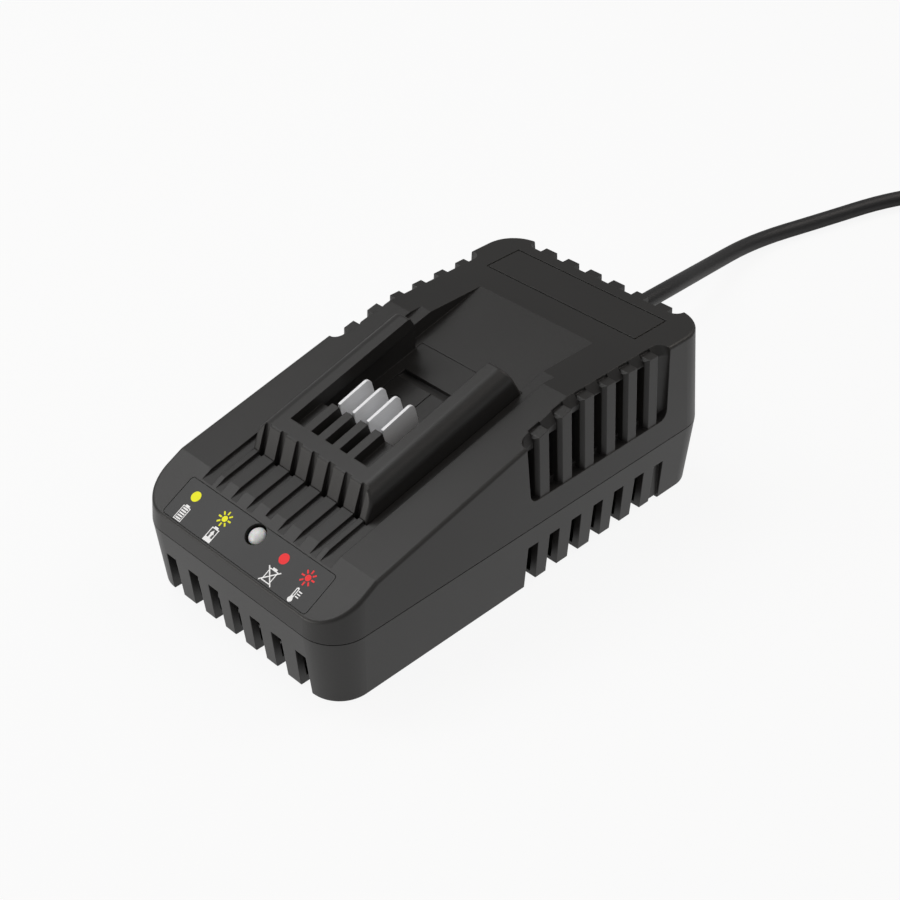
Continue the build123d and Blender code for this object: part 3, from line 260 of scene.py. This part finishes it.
def frosted_lens():
    """Milky dome, finely stippled inside."""
    finish = Finish("frosted_lens")
    stipple = finish.cells(2600.0)
    cloud = finish.noise(900.0, 2.0)
    body = finish.blend(cloud, paint(226, 228, 228), paint(246, 247, 247))
    return finish.surface(
        Base_Color=body, Roughness=0.22 + stipple * 0.2, Normal=finish.bump(stipple, 0.02),
        Transmission_Weight=0.08, IOR=1.49, Subsurface_Weight=0.2, Subsurface_Scale=0.001,
    )


def green_board():
    """Solder mask over copper tracks, with tinned pads; the cut edges show the bare laminate."""
    finish = Finish("green_board")
    track = ((finish.cells(170.0, distance="CHEBYCHEV") - 0.40) * 14.0).clamped()
    pads = (1.0 - finish.cells(240.0) * 6.0).clamped()
    weave = finish.noise(1.0, 2.0, finish.stretched(2400.0, 2400.0, 60.0))
    mask = finish.blend(weave, paint(14, 74, 44), paint(22, 92, 55))
    mask = finish.blend(track, mask, paint(48, 128, 72))
    mask = finish.blend(pads, mask, paint(196, 198, 196))
    flat = finish.facing_up().math("ABSOLUTE").over(0.5)
    return finish.surface(
        Base_Color=finish.blend(flat, paint(170, 152, 96), mask), Roughness=0.3 + weave * 0.15,
        Metallic=pads * flat * 0.8, Normal=finish.bump(track + pads, 0.035),
    )


def speckled(name, first, second, scale, rough):
    """Sintered or cast surface of two mixed shades."""
    finish = Finish(name)
    rounded = finish.soft_edges(0.25)
    grain = finish.noise(scale, 4.0)
    pits = finish.cells(scale * 0.7)
    return finish.surface(
        Base_Color=finish.blend(grain, first, second), Roughness=rough + grain * 0.15,
        Normal=finish.bump(grain + pits * 0.6, 0.03, rounded),
    )


def winding_tape():
    """Yellow tape wound in level turns, its edge just proud at each lap."""
    finish = Finish("winding_tape")
    tape_width = 3.4 * MM
    lap = (finish.along("Z") * (1 / tape_width)).math("FRACT")
    edge = (1.0 - lap * 9.0).clamped()
    cloud = finish.noise(260.0, 3.0)
    body = finish.blend(cloud, paint(196, 158, 30), paint(222, 188, 60))
    return finish.surface(
        Base_Color=finish.blend(edge * 0.5, body, paint(148, 112, 20)), Roughness=0.26 + cloud * 0.12,
        Normal=finish.bump(edge, 0.08), Coat_Weight=0.3, Coat_Roughness=0.2,
    )


def wound_copper():
    """Enamelled wire lying side by side round the choke's ring, with painted shade in the grooves between
    turns.
    """
    finish = Finish("wound_copper")
    turns = 26.0
    angle = (finish.along("Y") - CHOKE_Y * MM).math("ARCTAN2", finish.along("X") - CHOKE_X * MM)
    ridge = (angle * turns).math("SINE") * 0.5 + 0.5
    # painted shade and highlight: dark in the grooves between turns, bright on their crests
    body = finish.blend(ridge, paint(92, 38, 18), paint(196, 100, 54))
    return finish.surface(
        Base_Color=body, Roughness=0.22 + finish.noise(500.0) * 0.1, Metallic=0.55,
        Normal=finish.bump(ridge.math("SQRT"), 0.35), Coat_Weight=0.6, Coat_Roughness=0.12,
    )


def can_sleeve(name, colour, can):
    """Shrunk sleeve with a pale stripe of dashes, over an aluminium can whose scored top shows."""
    finish = Finish(name)
    can_x, can_y, can_r = can
    half_score, stripe_from = 0.35 * MM, (can_x + can_r * 0.80) * MM
    x = finish.along("X")
    top = finish.facing_up().over(0.8)
    dashes = (finish.along("Z") * 150.0).math("FRACT").over(0.45)
    stripe = (x - stripe_from).over(0.0) * dashes
    crumple = finish.noise(300.0, 3.0)
    sleeve = finish.blend(crumple, shade(colour, 0.9), shade(colour, 1.15))
    sleeve = finish.blend(stripe, sleeve, paint(196, 198, 202))
    score_x = (half_score - (x - can_x * MM).math("ABSOLUTE")).over(0.0)
    score_y = (half_score - (finish.along("Y") - can_y * MM).math("ABSOLUTE")).over(0.0)
    score = (score_x + score_y).clamped()
    metal = finish.blend(score, paint(196, 198, 200), paint(120, 122, 124))
    return finish.surface(
        Base_Color=finish.blend(top, sleeve, metal), Metallic=top, Roughness=0.28 + crumple * 0.12,
        Normal=finish.bump(crumple - score * top * 0.8, 0.06),
    )


def glass_fuse():
    """Glass body between two plated caps, a fine wire showing through."""
    finish = Finish("glass_fuse")
    half_wire = 0.25 * MM
    cap = (finish.along("X") - FUSE_X * MM).math("ABSOLUTE").over(FUSE_HALF * MM)
    wire = (half_wire - (finish.along("Y") - FUSE_Y * MM).math("ABSOLUTE")).over(0.0)
    glass = finish.blend(wire, paint(206, 214, 212), paint(110, 112, 114))
    scuff = finish.noise(700.0, 3.0)
    return finish.surface(
        Base_Color=finish.blend(cap, glass, paint(204, 202, 196)), Metallic=cap, Roughness=0.1 + scuff * 0.2,
        Normal=finish.bump(scuff, 0.01), Coat_Weight=0.5, Coat_Roughness=0.05,
    )


def core_insulation():
    """One brown and one blue core."""
    finish = Finish("core_insulation")
    blue = finish.along("X").over(CORES_MID_X * MM)
    scuff = finish.noise(900.0, 3.0)
    body = finish.blend(blue, paint(98, 52, 30), paint(44, 84, 168))
    body = finish.blend(scuff * 0.3, body, paint(160, 150, 150))
    return finish.surface(Base_Color=body, Roughness=0.32 + scuff * 0.1, Normal=finish.bump(scuff, 0.01))


def woven_strap():
    """Black hook-and-loop strap: a close weave under short pile."""
    finish = Finish("woven_strap")
    weave = finish.waves(420.0, "X") * finish.waves(420.0, "DIAGONAL")
    pile = finish.noise(3800.0, 2.0)
    body = finish.blend(weave * 0.6 + pile * 0.4, paint(16, 16, 17), paint(52, 52, 54))
    return finish.surface(
        Base_Color=body, Roughness=0.85, Normal=finish.bump(weave + pile * 0.5, 0.12),
        Sheen_Weight=0.25, Sheen_Roughness=0.5,
    )


def milky_lamp():
    """Green-tinted emitter."""
    finish = Finish("milky_lamp")
    haze = finish.noise(700.0, 2.0)
    return finish.surface(
        Base_Color=finish.blend(haze, paint(186, 224, 190), paint(214, 240, 214)),
        Roughness=0.18 + haze * 0.1,
        Transmission_Weight=0.4,
        IOR=1.5,
    )


def fit(material, *names):
    """Gives parts of the frame their finish."""
    for name in names:
        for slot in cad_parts[name].material_slots:
            slot.material = material


fit(housing, "base_shell", "top_shell")
fit(dock, "battery_dock")
fit(film, "indicator_panel")
fit(black_plastic, "terminal_block", "transformer_foot", "cord_clamp")
fit(pale_nylon, "lamp_holder", "input_connector")
fit(rubber, *[f"foot_pad_{i}" for i in range(1, 5)])
fit(plug_rubber, "plug_body", "strain_relief")
fit(blade_metal, *[f"contact_blade_{i}" for i in range(1, 5)])
fit(screw_steel, "case_screws", "board_screws", "dock_screws", "clamp_screws")
fit(sink_aluminium, "primary_heat_sink", "secondary_heat_sink")
fit(pin_nickel, "plug_pins")
fit(frosted_lens(), "light_pipe")
fit(green_board(), "circuit_board")
fit(speckled("ferrite", paint(48, 48, 51), paint(78, 78, 82), 1400.0, 0.55), "transformer_core")
fit(speckled("coated_ferrite", paint(38, 72, 52), paint(58, 98, 72), 900.0, 0.4), "choke_core")
fit(speckled("moulded_epoxy", paint(26, 26, 27), paint(44, 44, 45), 2400.0, 0.45),
    "bridge_rectifier", "power_switch", "output_rectifier", "control_chips")
fit(speckled("yellow_box", paint(196, 158, 44), paint(216, 180, 66), 700.0, 0.3), "interference_capacitor")
fit(winding_tape(), "transformer_winding")
fit(wound_copper(), "choke_winding")
fit(can_sleeve("bulk_can", paint(26, 30, 44), BULK_CAN), "bulk_capacitor")
fit(can_sleeve("output_cans", paint(34, 30, 26), OUTPUT_CANS), "output_capacitors")
fit(glass_fuse(), "fuse")
fit(core_insulation(), "cord_cores")
fit(woven_strap(), "cord_tie")
fit(milky_lamp(), "status_led")


# ---- printed signs on the indicator panel ---------------------------------------------------------------
# each is cut out flat, in millimetres with +Y up the deck, and then laid on the panel
def ink(name, colour):
    """Screen-printed ink, slightly uneven."""
    finish = Finish(name)
    cover = finish.noise(2400.0, 3.0)
    return finish.surface(
        Base_Color=finish.blend(cover, shade(colour, 0.93), colour), Roughness=0.42 + cover * 0.1,
        Normal=finish.bump(cover, 0.004), Specular_IOR_Level=0.25,
    )


def bar(x0, x1, y0, y1, turn=0.0):
    """Upright bar, 1 high, turned about the sign's middle by degrees."""
    bpy.ops.object.select_all(action="DESELECT")
    bpy.ops.mesh.primitive_cube_add(size=1, location=((x0 + x1) / 2, (y0 + y1) / 2, 0.5))
    piece = bpy.context.object
    piece.scale = (x1 - x0, y1 - y0, 1)
    bpy.ops.object.transform_apply()
    piece.matrix_world = Matrix.Rotation(math.radians(turn), 4, "Z")
    bpy.ops.object.transform_apply()
    return piece


def disc(x, y, r, sides=40):
    bpy.ops.object.select_all(action="DESELECT")
    bpy.ops.mesh.primitive_cylinder_add(vertices=sides, radius=r, depth=1, location=(x, y, 0.5))
    bpy.ops.object.transform_apply()
    return bpy.context.object


def taller(pieces):
    """Stretches cutters past both faces of what they cut."""
    for piece in pieces:
        piece.matrix_world = Matrix.Translation((0, 0, -0.5)) @ Matrix.Diagonal((1, 1, 2, 1))
    return pieces


def cut_out(name, add, remove=()):
    """One flat shape from several: all of add joined, all of remove taken away."""
    sign = add[0]
    bpy.ops.object.select_all(action="DESELECT")
    sign.select_set(True)
    bpy.context.view_layer.objects.active = sign
    for operation, tools in (("UNION", add[1:]), ("DIFFERENCE", taller(remove))):
        for tool in tools:
            step = sign.modifiers.new(operation, "BOOLEAN")
            step.operation, step.solver, step.object = operation, "EXACT", tool
            bpy.ops.object.modifier_apply(modifier=step.name)
            bpy.data.objects.remove(tool)
    sign.name = sign.data.name = name
    return sign


def lay_on_panel(sign, x, up_deck, material):
    """Puts a sign on the deck, up_deck millimetres up from the panel's middle line."""
    sign.data.materials.clear()
    sign.data.materials.append(material)
    seat = Matrix.Translation(Vector((x, PANEL_MID_Y, DECK_Z + DECK_SLOPE * PANEL_MID_Y)) * MM)
    print_depth = PRINT_HIGH - PRINT_LOW
    sign.matrix_world = (
        seat @ Matrix.Rotation(DECK_TILT, 4, "X") @ Matrix.Translation((0, up_deck * MM, PRINT_LOW * MM))
        @ Matrix.Diagonal((MM, MM, print_depth * MM, 1))
    )
    bpy.ops.object.select_all(action="DESELECT")
    sign.select_set(True)
    bpy.context.view_layer.objects.active = sign
    bpy.ops.object.transform_apply()
    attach(sign, "root")


def steady_light(name):
    """Plain dot."""
    return cut_out(name, [disc(0, 0, 1.76)])


def flashing_light(name):
    """Disc with eight short rays."""
    ray_half, ray_from, ray_to, count = 0.27, 1.42, 2.65, 8
    rays = [bar(-ray_half, ray_half, ray_from, ray_to, 360 / count * i) for i in range(count)]
    return cut_out(name, [disc(0, 0, 1.02)] + rays)


def battery(name, half, half_height, wall):
    """Upright battery in outline, with its pole."""
    pole_half, pole_height = half * 0.52, 0.55
    inner, inner_height = half - wall, half_height - wall
    return cut_out(
        name,
        [bar(-half, half, -half_height, half_height),
         bar(-pole_half, pole_half, half_height - 0.1, half_height + pole_height)],
        [bar(-inner, inner, -inner_height, inner_height)],
    )


def full_battery(name):
    """Battery with five bars of charge."""
    half, half_height = 1.1, 0.26
    charge = [bar(-half, half, y - half_height, y + half_height) for y in (-1.72, -0.86, 0, 0.86, 1.72)]
    return cut_out(name, [battery(name, 1.64, 2.52, 0.28)] + charge)


def charging_battery(name):
    """Battery with a low charge and an arrow that points up."""
    outline = battery(name, 1.57, 2.37, 0.34)
    arrow = [bar(-0.42, 0.42, -1.1, 0.5), disc(0, 0.75, 0.95, 3)]
    return cut_out(name, [outline, bar(-1.4, 1.4, -2.2, -0.95)] + arrow)


def crossed_battery(name):
    """Battery struck out by a cross."""
    stroke_half, stroke_reach, slant = 0.19, 3.6, 45.5
    outline = battery(name, 1.72, 2.17, 0.32)
    cross = [bar(-stroke_half, stroke_half, -stroke_reach, stroke_reach, turn) for turn in (slant, -slant)]
    return cut_out(name, [outline] + cross)


def thermometer(name):
    """Thermometer with three marks of its scale."""
    bulb_y, tip_y, bulb_r, stem_half = -2.0, 1.6, 0.86, 0.52
    outline = [disc(0, bulb_y, bulb_r), bar(-stem_half, stem_half, bulb_y, tip_y), disc(0, tip_y, stem_half)]
    glass = cut_out(name, outline, [bar(-0.2, 0.2, -0.7, 1.55)])
    return cut_out(name, [glass] + [bar(0.8, 2.1, y, y + 0.36) for y in (-0.68, 0.17, 1.02)])


WHITE_INK = ink("white_ink", paint(255, 255, 255))
YELLOW_INK = ink("yellow_ink", paint(255, 252, 24))
RED_INK = ink("red_ink", paint(255, 48, 52))
SIGNS = [
    # shape, name, how far to the right of the panel's middle and up the deck, ink
    (steady_light, "sign_ready_light", -26.2, 2.42, YELLOW_INK),
    (full_battery, "sign_full", -26.1, -4.1, WHITE_INK),
    (flashing_light, "sign_charging_light", -12.08, 1.95, YELLOW_INK),
    (charging_battery, "sign_charging", -12.1, -4.25, WHITE_INK),
    (steady_light, "sign_fault_light", 14.28, 2.45, RED_INK),
    (crossed_battery, "sign_faulty", 14.35, -3.9, WHITE_INK),
    (flashing_light, "sign_hot_light", 25.15, 1.97, RED_INK),
    (thermometer, "sign_hot", 24.97, -3.8, WHITE_INK),
]
for shape, sign_name, to_right, up_deck, sign_ink in SIGNS:
    lay_on_panel(shape(sign_name), to_right, up_deck, sign_ink)


# ---- mains cord ---------------------------------------------------------------------------------------
CORD_D = 6.4
EXIT = (-15.8, 83.64, 23.9)
COIL_X, COIL_Y, COIL_Z = 48.0, 318.0, 4.35
COIL_OUT_R, COIL_IN_R, COIL_PITCH = 42.5, 23.0, 6.5
COIL_START, COIL_TURNS, LAYER_TURNS = 150.0, 3 + 3 + 150 / 360, 3
CLIMB_TURNS = 0.18                         # part of a turn in which the cord climbs to the upper layer
COIL_POINTS = 103
ROUTE = [
    EXIT, (-15.8, 131.0, 23.9), (-28.5, 176.0, 11.4), (-36.5, 220.0, 3.45), (-27.0, 256.0, 3.3),
    (-16.81, 290.77, COIL_Z), (-1.81, 316.75, COIL_Z),
]
TAIL_X = 93.21
TAIL = [(TAIL_X, 292.0, 10.75), (TAIL_X, 276.0, 10.75), (TAIL_X, 260.0, 7.0), (TAIL_X, 244.0, 7.0)]


def coil_points():
    """Three turns inwards on the floor, then three and a part outwards on top of them."""
    step = COIL_TURNS / COIL_POINTS
    points = []
    for i in range(COIL_POINTS):
        turns = (i + 0.5) * step
        r = COIL_OUT_R - COIL_PITCH * turns
        if turns > LAYER_TURNS:
            r = COIL_IN_R + COIL_PITCH * (turns - LAYER_TURNS)
        r /= math.cos(math.pi * step)      # the curve runs inside its control points
        angle = math.radians(COIL_START - 360 * turns)
        lift = min(1.0, max(0.0, (turns - LAYER_TURNS) / CLIMB_TURNS))
        points.append((COIL_X + r * math.cos(angle), COIL_Y + r * math.sin(angle), COIL_Z + CORD_D * lift))
    return points


def add_cord(material):
    data = bpy.data.curves.new("mains_cord", "CURVE")
    data.dimensions = "3D"
    line = data.splines.new("NURBS")
    points = ROUTE + coil_points() + TAIL
    line.points.add(len(points) - 1)
    for target, point in zip(line.points, points):
        target.co = (*[value * MM for value in point], 1)
    line.order_u = 3
    line.use_endpoint_u = True
    line.resolution_u = 6
    data.bevel_depth = CORD_D / 2 * MM
    data.bevel_resolution = 6
    data.use_fill_caps = True
    data.materials.append(material)
    cord = bpy.data.objects.new("mains_cord", data)
    bpy.context.scene.collection.objects.link(cord)
    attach(cord, "root")
    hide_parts("cord_run", "cord_coil", "cord_tail")


cord_jacket = moulded_plastic("cord_jacket", paint(34, 34, 35), 0.42, 1500.0, 0.01, 0.05)
fit(cord_jacket, "cord_sheath")
add_cord(cord_jacket)


# ---- studio -------------------------------------------------------------------------------------------
FLOOR_SIZE, FLOOR_Z = 12, -0.00005         # metres; just under the feet
WHITENESS, SHEEN = 0.9, 0.85               # how white the floor is to the eye, and how brightly it glows in the housing's gloss, a painted reflection
ROOM_LIGHT, BACKDROP = 0.27, 1.0
LAMP_DISTANCE, AIM_HEIGHT = 1.3, 0.03
LAMPS = [
    # name, azimuth from +Y clockwise, elevation, size, watts, colour
    ("left_high", 270.0, 66.0, 0.5, 3.7, (1.0, 1.0, 1.0)),
    ("front_left", 240.0, 46.0, 0.5, 3.3, (1.0, 1.0, 1.0)),
    ("right_soft", 90.0, 46.0, 0.5, 0.8, (1.0, 0.96, 0.92)),
    ("right_rear", 20.0, 48.0, 0.6, 3.2, (1.0, 0.93, 0.87)),
    ("front_low", 206.0, 8.0, 0.5, 4.8, (1.0, 0.97, 0.93)),
]


def add_floor():
    """White sheet that keeps the charger's shadow; its front right part glows in the gloss only, a painted
    reflection on the housing.
    """
    bpy.ops.object.select_all(action="DESELECT")
    bpy.ops.mesh.primitive_plane_add(size=FLOOR_SIZE, location=(0, 0, FLOOR_Z))
    floor = bpy.context.object
    floor.name = "floor"
    sheet = Finish("floor")
    seen = sheet.node("ShaderNodeLightPath", out="Is Camera Ray")
    mirrored = sheet.node("ShaderNodeLightPath", out="Is Glossy Ray")
    # painted reflection: only the floor's front right part glows, and only in glossy rays
    glow_in_gloss_side = ((sheet.along("X") - sheet.along("Y")) * 4.0 + 1.3).clamped()
    white = seen * WHITENESS + mirrored * glow_in_gloss_side * SHEEN
    sheet.surface(Base_Color=paint(225, 225, 225), Roughness=0.9)
    body = Wire(sheet, sheet.shader.outputs[0])
    glow = sheet.node("ShaderNodeEmission", {"Color": (1, 1, 1, 1), "Strength": 1.0})
    both = sheet.node("ShaderNodeMixShader", {0: white, 1: body, 2: glow})
    sheet.tree.links.new(both.socket, sheet.tree.nodes["Material Output"].inputs["Surface"])
    floor.data.materials.append(sheet.material)


def add_world():
    """Soft light from all round; a pale grey backdrop to the eye."""
    world = bpy.data.worlds.new("studio")
    world.use_nodes = True
    tree = world.node_tree
    back = tree.nodes["Background"]
    back.inputs["Color"].default_value = (1, 1, 1, 1)
    back.inputs["Strength"].default_value = ROOM_LIGHT
    bright = tree.nodes.new("ShaderNodeBackground")
    bright.inputs["Strength"].default_value = BACKDROP
    rays = tree.nodes.new("ShaderNodeLightPath")
    mix = tree.nodes.new("ShaderNodeMixShader")
    tree.links.new(rays.outputs["Is Camera Ray"], mix.inputs[0])
    tree.links.new(back.outputs[0], mix.inputs[1])
    tree.links.new(bright.outputs[0], mix.inputs[2])
    tree.links.new(mix.outputs[0], tree.nodes["World Output"].inputs["Surface"])
    bpy.context.scene.world = world


def add_lamps():
    """Square soft boxes that all point at the charger."""
    for name, azimuth, elevation, size, watts, colour in LAMPS:
        data = bpy.data.lights.new(name, "AREA")
        data.shape, data.size, data.energy, data.color = "SQUARE", size, watts, colour
        lamp = bpy.data.objects.new(name, data)
        bpy.context.scene.collection.objects.link(lamp)
        a, e = math.radians(azimuth), math.radians(elevation)
        way = Vector((math.sin(a) * math.cos(e), math.cos(a) * math.cos(e), math.sin(e)))
        lamp.location = way * LAMP_DISTANCE + Vector((0, 0, AIM_HEIGHT))
        lamp.rotation_euler = way.to_track_quat("Z", "Y").to_euler()


add_floor()
add_world()
add_lamps()
bpy.context.scene.view_settings.view_transform = "Standard"
